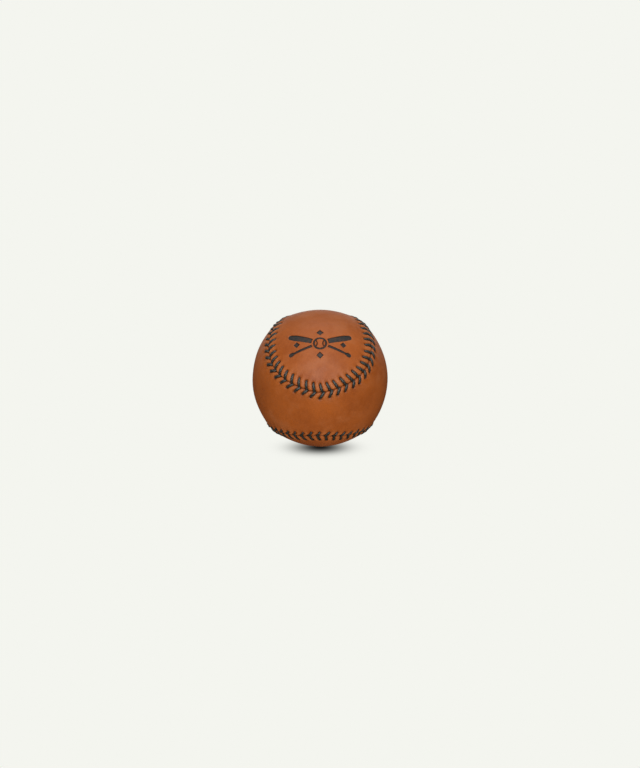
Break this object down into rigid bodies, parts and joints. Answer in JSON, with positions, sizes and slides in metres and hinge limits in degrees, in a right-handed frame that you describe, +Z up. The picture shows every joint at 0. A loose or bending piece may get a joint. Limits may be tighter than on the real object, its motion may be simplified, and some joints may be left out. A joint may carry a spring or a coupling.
{
  "type": "baseball",
  "caption": "Hand-stitched leather baseball: two figure-eight panels sewn over a wound wool core round a cushioned cork centre.",
  "frame": {"origin": "middle of the small flat that the ball rests on, straight below the ball's centre", "axes": "+Z up, -Y towards the viewer, with panel A's front lobe facing up and forwards, +X to the viewer's right"},
  "size_m": [0.0732, 0.0758, 0.0736],
  "materials": {
    "tan_leather": "satin, waxed, full grain",
    "waxed_thread": "black-green waxed cord",
    "finishing_cotton": "fine wound cotton and polyester yarn",
    "white_wool": "three-ply wool yarn, wound",
    "grey_wool": "three and four-ply wool yarn, wound",
    "black_rubber": "moulded, matt",
    "red_rubber": "moulded, matt",
    "composition_cork": "ground cork bound with rubber"
  },
  "bodies": {
    "root": {"cork_core": "composition_cork", "cushion_cup_upper": "black_rubber", "cushion_cup_lower": "black_rubber", "cushion_gasket": "red_rubber", "rubber_shell_upper": "red_rubber", "rubber_shell_lower": "red_rubber", "winding_first_grey_wool": "grey_wool", "winding_second_white_wool": "white_wool", "winding_third_grey_wool": "grey_wool", "winding_finish_cotton": "finishing_cotton", "cover_panel_a": "tan_leather", "cover_panel_b": "tan_leather", "seam_thread": "waxed_thread"}
  },
  "joints": []
}
